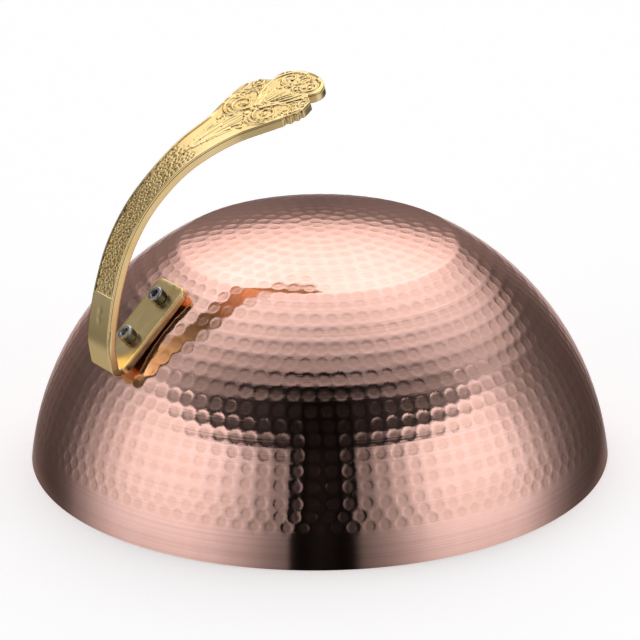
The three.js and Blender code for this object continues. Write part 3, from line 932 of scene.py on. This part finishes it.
def face_depth(flat, edge):
    """How deep the decorated face is cut at flat points that lie at a distance from the edge."""
    back = STRAP_LENGTH - flat[:, 0]
    side = np.abs(flat[:, 1])
    mirrored = np.stack([back, side], 1)

    # panel with its raised border
    in_panel = smoothstep(flat[:, 0], 98.6, 99.1) * smoothstep(edge, 1.15, 1.5)
    open_tip = smoothstep(STRAP_LENGTH - back, STRAP_LENGTH - 58, STRAP_LENGTH - 48)
    in_tip = smoothstep(edge, 0.35, 0.9)
    depth = 0.55 * in_panel * (1 - open_tip) + 0.80 * in_tip * open_tip

    # punched pits, fading out where the foliage begins
    punch = np.zeros(len(flat))
    near = np.where((flat[:, 0] > PANEL_START) & (flat[:, 0] < STRAP_LENGTH - 76) & (edge > 1.5))[0]
    for u, v, size, stretch, turn in pits():
        hit = near[(np.abs(flat[near, 0] - u) < 1.3) & (np.abs(flat[near, 1] - v) < 1.3)]
        if not len(hit):
            continue
        du, dv = flat[hit, 0] - u, flat[hit, 1] - v
        x = (du * math.cos(turn) + dv * math.sin(turn)) / (size * stretch)
        y = (dv * math.cos(turn) - du * math.sin(turn)) / (size / stretch ** 0.5)
        share = np.hypot(x, y)
        punch[hit] = np.maximum(punch[hit], 1 - smoothstep(share, 0.35, 1.25))
    fade = 1 - smoothstep(flat[:, 0], STRAP_LENGTH - 86, STRAP_LENGTH - 78)
    depth = depth + 0.80 * punch * fade * in_panel

    # raised foliage
    raised = np.zeros(len(flat))
    for line, start, end, height in BEADS:
        share = line_relief(mirrored, line, start, end)
        dome_section = np.clip(1 - np.clip(share, 0, 1) ** 2, 0, 1) ** 0.75
        raised = np.maximum(raised, height * dome_section)
    for b, v, size, height in BOSSES:
        share = np.hypot(back - b, side - v) / size
        raised = np.maximum(raised, height * np.sqrt(np.clip(1 - share ** 2, 0, 1)))
    depth = np.maximum(depth - 1.3 * raised, 0)
    for line, half, cut in VEINS:
        share = line_relief(mirrored, line, half + 0.1, half + 0.1)
        depth = depth + cut * (1 - smoothstep(share, 0.2, 1.1))
    for b, v, size in DRILLED:
        share = np.hypot(back - b, side - v) / size
        depth = depth + 0.45 * (1 - smoothstep(share, 0.5, 1.2))

    # a plain lozenge on the lower arm
    lozenge = np.abs(flat[:, 0] - 88) / 3.4 + side / 2.6
    depth = depth + 0.30 * (smoothstep(lozenge, 0.72, 0.82) - smoothstep(lozenge, 0.98, 1.08))
    return depth


def thickness(distance):
    growth = smoothstep(distance, FOOT_LENGTH, ARM_START + 20)
    return FOOT_THICKNESS + (ARM_THICKNESS - FOOT_THICKNESS) * growth


FLUTES = (-35.0, -31.0, -27.0)  # along the strap, from its tip
FLUTE_DEPTH = 1.1
GROOVE_DEPTH = 0.34
GROOVE_END = 1.4
# The side wall's rings: depth under the face, inset, and whether the ring is in the groove.
SIDE_ROWS = ((0.06, 0.16, 0), (0.22, 0.03, 0), (0.45, 0, 0), (0.85, 0, 0), (1.0, 0, 1), (1.2, 0, 1),
             (GROOVE_END, 0, 0), (2.2, 0, 0), (3.0, 0, 0))
LOWER_EDGE = ((0.5, 0.0), (0.25, 0.05), (0.08, 0.2), (0.0, 0.45))  # height over the back, inset


def handle():
    outline = strap_outline()
    count = len(outline)
    hole_places = [flat_ring(HOLE_RADIUS, HOLE_SIDES) + (FOOT_TOP - x, 0) for x in SCREW_PLACES.values()]
    verts, faces, total = [], [], 0

    def add(points):
        nonlocal total
        verts.append(points)
        numbers = list(range(total, total + len(points)))
        total += len(points)
        return numbers

    def in_hole(flat, margin):
        return np.any([np.hypot(flat[:, 0] - (FOOT_TOP - x), flat[:, 1]) < HOLE_RADIUS + margin
                       for x in SCREW_PLACES.values()], 0)

    def hexagonal(low, high, half, step):
        rows = []
        for k, u in enumerate(np.arange(low, high, step * 0.866)):
            v = np.arange(-half, half, step) + 0.5 * step * (k % 2)
            rows.append(np.stack([np.full(len(v), u), v], 1))
        return np.concatenate(rows)

    def broad_face(rim, loose):
        """Flat points and triangles of one broad face, bounded by its rim and by the two screw holes."""
        flat = np.concatenate([rim] + hole_places + [loose])
        starts = (count, count + HOLE_SIDES)
        loops = [range(count)] + [range(start, start + HOLE_SIDES) for start in starts]
        tris = triangulate(flat, loops)
        centre = flat[tris].mean(1)
        keep = inside_loop(centre, rim)
        for hole in hole_places:
            keep &= ~inside_loop(centre, hole)
        return flat, tris[keep]

    def well_inside(points, rim, margin):
        points = points[inside_loop(points, rim) & ~in_hole(points, 0.35)]
        return points[edge_distance(points, rim) > margin]

    top_grid = np.concatenate([hexagonal(1, 97, 14, 1.5), hexagonal(97.5, STRAP_LENGTH, 26, 0.30)])
    top_rim = moved_inwards(outline, 0.45)
    borders = [moved_inwards(outline, 0.45 + d) for d in (0.35, 0.7, 1.05, 1.4)]
    flat, tris = broad_face(top_rim, np.concatenate([
        well_inside(np.concatenate(borders), top_rim, 0.2), well_inside(top_grid, borders[-1], 0.22)]))
    edge = edge_distance(flat, outline)
    depth = face_depth(flat, edge)
    depth[:count] = 0.0
    numbers = add(bend_strap(flat, depth))
    # The recess mask is painted shade: the face is darkened where it is cut deeper than 0.42 mm, and half as
    # much towards the tip.
    toned = 1 - 0.50 * smoothstep(flat[:, 0], STRAP_LENGTH - 86, STRAP_LENGTH - 66)
    recess_shade = [np.clip((depth - 0.42) / 0.75, 0, 1) * toned]
    faces += (tris + numbers[0]).tolist()
    top_holes = [numbers[count + HOLE_SIDES * k:count + HOLE_SIDES * (k + 1)] for k in range(2)]

    # side wall: rounded upper edge, thin groove, flank, rounded lower edge
    thick = thickness(outline[:, 0])
    on_arm = smoothstep(outline[:, 0], ARM_START + 4, ARM_START + 30)
    flutes = np.zeros(count)
    for place in FLUTES:
        flutes = np.maximum(flutes, 1 - smoothstep(np.abs(outline[:, 0] - STRAP_LENGTH - place), 0.4, 1.7))
    previous = numbers[:count]
    for down, inset, groove in SIDE_ROWS:
        depth_here = np.full(count, down)
        if down > GROOVE_END:
            depth_here = GROOVE_END + (thick - 0.5 - GROOVE_END) * (down - GROOVE_END) / (3.6 - GROOVE_END)
        inward = inset + GROOVE_DEPTH * groove * on_arm
        inward = inward + FLUTE_DEPTH * flutes * smoothstep(depth_here, 0.5, 1.6)
        numbers = add(bend_strap(moved_inwards(outline, inward), depth_here))
        # painted shade in the side groove on the arm and in the flutes
        recess_shade.append(np.clip(0.8 * groove * on_arm + 0.5 * flutes, 0, 1))
        faces += ring_band(previous, numbers)
        previous = numbers
    for up, inset in LOWER_EDGE:
        numbers = add(bend_strap(moved_inwards(outline, inset + FLUTE_DEPTH * flutes), thick - up))
        faces += ring_band(previous, numbers)
        previous = numbers

    # the back: its rim is the last ring, so those numbers are used again
    low_ring = moved_inwards(outline, 0.45 + FLUTE_DEPTH * flutes)
    low_grid = np.concatenate([hexagonal(1, FOOT_LENGTH, 14, 1.5), hexagonal(FOOT_LENGTH, ARM_START, 14, 0.8),
                               hexagonal(ARM_START + 0.5, STRAP_LENGTH, 26, 1.3)])
    flat, tris = broad_face(low_ring, well_inside(low_grid, low_ring, 0.6))
    placed = bend_strap(flat, thickness(flat[:, 0]))
    offset = total - count
    numbers = add(placed[count:])
    faces += (tris[:, ::-1] + offset).tolist()
    low_holes = [numbers[HOLE_SIDES * k:HOLE_SIDES * (k + 1)] for k in range(2)]
    for upper, lower in zip(top_holes, low_holes):
        faces += ring_band(upper, lower)

    piece = make_piece("strap_handle", np.concatenate(verts), faces)
    recess_shade = np.concatenate(recess_shade)
    store_number(piece, "recess_shade", np.concatenate([recess_shade, np.zeros(total - len(recess_shade))]))
    piece.data.materials.append(brass())
    finish_piece(piece, 50)
    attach(piece, "root")
    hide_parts("handle")


def brass():
    # the dark recess colour is painted shade in the hollows of the relief
    return metal("cast_brass", (0.95, 0.75, 0.40, 1), (0.84, 0.62, 0.28, 1), 0.24, 0.12,
                 (0.95, 0.82, 0.55, 1), mask=("recess_shade", (0.24, 0.16, 0.05, 1), 0.20))


# ------------------------------------------------------------------ fasteners

def sweep(name, rings, solid=True):
    """A piece made from one circle, filled if solid, that is extruded ring by ring. Rings are in millimetres.
    An open one ends on its first ring, where it is merged shut."""
    bpy.ops.object.select_all(action='DESELECT')
    bpy.ops.mesh.primitive_circle_add(vertices=len(rings[0]), fill_type='NGON' if solid else 'NOTHING')
    piece = bpy.context.object
    piece.name = piece.data.name = name
    piece.data.vertices.foreach_set('co', (rings[0] * MM).ravel())
    bpy.ops.object.mode_set(mode='EDIT')
    bpy.ops.mesh.select_all(action='SELECT')
    for before, after in zip(rings, rings[1:]):
        bpy.ops.mesh.extrude_region_move()
        mesh = bmesh.from_edit_mesh(piece.data)
        for vertex in (v for v in mesh.verts if v.select):
            nearest = np.argmin(((before * MM - np.array(vertex.co)) ** 2).sum(1))
            vertex.co = after[nearest] * MM
        bmesh.update_edit_mesh(piece.data)
    bpy.ops.mesh.select_all(action='SELECT')
    bpy.ops.mesh.remove_doubles(threshold=1e-6)
    bpy.ops.object.mode_set(mode='OBJECT')
    return piece


def ring(radius, z, count):
    a = np.arange(count) * 2 * math.pi / count
    radius = radius(a) if callable(radius) else np.full(count, radius)
    z = z(radius) if callable(z) else np.full(count, z)
    return np.stack([radius * np.cos(a), radius * np.sin(a), z], 1)


def hexagon(flats):
    return lambda a: flats / 2 / np.cos((a % (math.pi / 3)) - math.pi / 6)


THREAD_PITCH = 0.8


def thread(crest, root, z):
    """Radius round a turn of a helical thread at height z."""
    return lambda a: crest - (crest - root) * np.abs(2 * ((z / THREAD_PITCH - a / (2 * math.pi)) % 1) - 1)


HEAD_SIDES = 96
HEAD_RADIUS = 4.25
HEAD_FLOOR = FOOT_THICKNESS + GAP
HEAD_TOP = HEAD_FLOOR + 5
SHANK_END = HEAD_FLOOR - 16
SOCKET_FLATS = 4.0
CREST, ROOT = 2.48, 2.1


def knurl(a):
    return HEAD_RADIUS - 0.28 * (np.round(a * HEAD_SIDES / (2 * math.pi)) % 2)


def socket_screw(name):
    n = HEAD_SIDES
    rings = [ring(1.8, SHANK_END, n), ring(ROOT, SHANK_END + 0.3, n)]
    rings += [ring(thread(CREST, ROOT, z), z, n) for z in np.arange(SHANK_END + 0.6, HEAD_FLOOR - 0.5, 0.2)]
    rings += [ring(2.45, HEAD_FLOOR - 0.2, n), ring(2.45, HEAD_FLOOR, n), ring(3.9, HEAD_FLOOR, n)]
    rings += [ring(4.1, HEAD_FLOOR + 0.15, n)]
    rings += [ring(knurl, z, n) for z in (HEAD_FLOOR + 0.3, HEAD_TOP - 1.0)]
    rings += [ring(r, HEAD_TOP - d, n)
              for r, d in ((4.12, 0.85), (4.12, 0.62), (3.98, 0.3), (3.74, 0.08), (3.5, 0.0), (3.0, 0.0))]
    rings += [ring(hexagon(SOCKET_FLATS + 0.3), HEAD_TOP, n)]
    rings += [ring(hexagon(SOCKET_FLATS), HEAD_TOP - d, n) for d in (0.18, 2.4)]
    rings += [ring(1.7, HEAD_TOP - 2.5, n), ring(0.2, HEAD_TOP - 2.9, n)]
    return sweep(name, rings)


def flat_washer(name, z):
    section = ((2.8, 0.12), (2.92, 0), (4.85, 0), (5.0, 0.15), (5.0, 0.85), (4.85, 1.0), (2.92, 1.0),
               (2.8, 0.88), (2.8, 0.12))
    return sweep(name, [ring(r, z + up, 64) for r, up in section], solid=False)


def split_washer(name, z):
    """A square section swept round the gap, rising a little from one end to the other."""
    section = np.array([(2.9, 0.0), (4.5, 0.0), (4.6, 0.1), (4.6, 0.9), (4.5, 1.0), (2.9, 1.0), (2.8, 0.9),
                        (2.8, 0.1)])
    rings = []
    for share in np.linspace(0, 1, 49):
        a = math.radians(8 + 344 * share)
        rings.append(np.stack([section[:, 0] * math.cos(a), section[:, 0] * math.sin(a),
                               z + section[:, 1] + 0.2 * share], 1))
    return sweep(name, rings)


def hex_nut(name, z):
    n = 72
    high = z + 4
    rings = [ring(2.85, z + 0.2, n), ring(3.1, z, n), ring(3.8, z, n)]
    rings += [ring(hexagon(8), lambda r: z + (r - 3.8) * 0.6, n),
              ring(hexagon(8), lambda r: high - (r - 3.8) * 0.6, n)]
    rings += [ring(3.8, high, n), ring(3.1, high, n), ring(2.85, high - 0.2, n)]
    rings += [ring(thread(2.84, 2.62, h), h, n) for h in np.arange(high - 0.4, z + 0.3, -0.2)]
    return sweep(name, rings + [rings[0]], solid=False)


def fasteners():
    steel = metal("screw_steel", (0.54, 0.55, 0.57, 1), (0.36, 0.37, 0.39, 1), 0.20, 0.16,
                  (0.9, 0.9, 0.92, 1))
    zinc = metal("zinc_plate", (0.74, 0.75, 0.74, 1), (0.58, 0.60, 0.58, 1), 0.34, 0.18,
                 (0.9, 0.92, 0.9, 1))
    inside = math.sqrt((WALL_RADIUS - SHEET) ** 2 - (SCREW_SPACING / 2 + 5) ** 2) - FOOT_RADIUS
    washer_z = inside - 0.5 - 1
    spring_z = washer_z - GAP - 1.2
    nut_z = spring_z - GAP - 4
    for place, x in SCREW_PLACES.items():
        for kind, piece in (("socket_screw", socket_screw(place + "_socket_screw")),
                            ("plain_washer", flat_washer(place + "_flat_washer", washer_z)),
                            ("spring_washer", split_washer(place + "_split_washer", spring_z)),
                            ("hex_nut", hex_nut(place + "_nut", nut_z))):
            screw = kind == "socket_screw"
            piece.data.materials.append(steel if screw else zinc)
            place_in_metres(piece, x)
            finish_piece(piece, 28)
            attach(piece, "root")
            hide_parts(kind + "_" + place)


def place_in_metres(piece, x):
    """Moves a piece from the joint's own frame into place, and leaves its object unmoved."""
    turn = JOINT.to_3x3().to_4x4()
    place = Matrix.Translation(JOINT.translation * MM)
    piece.matrix_world = place @ turn @ Matrix.Translation((x * MM, 0, 0))
    bpy.ops.object.select_all(action='DESELECT')
    bpy.context.view_layer.objects.active = piece
    piece.select_set(True)
    bpy.ops.object.transform_apply(location=True, rotation=True, scale=True)


add_camera()
add_light()
add_floor()
dome()
handle()
fasteners()
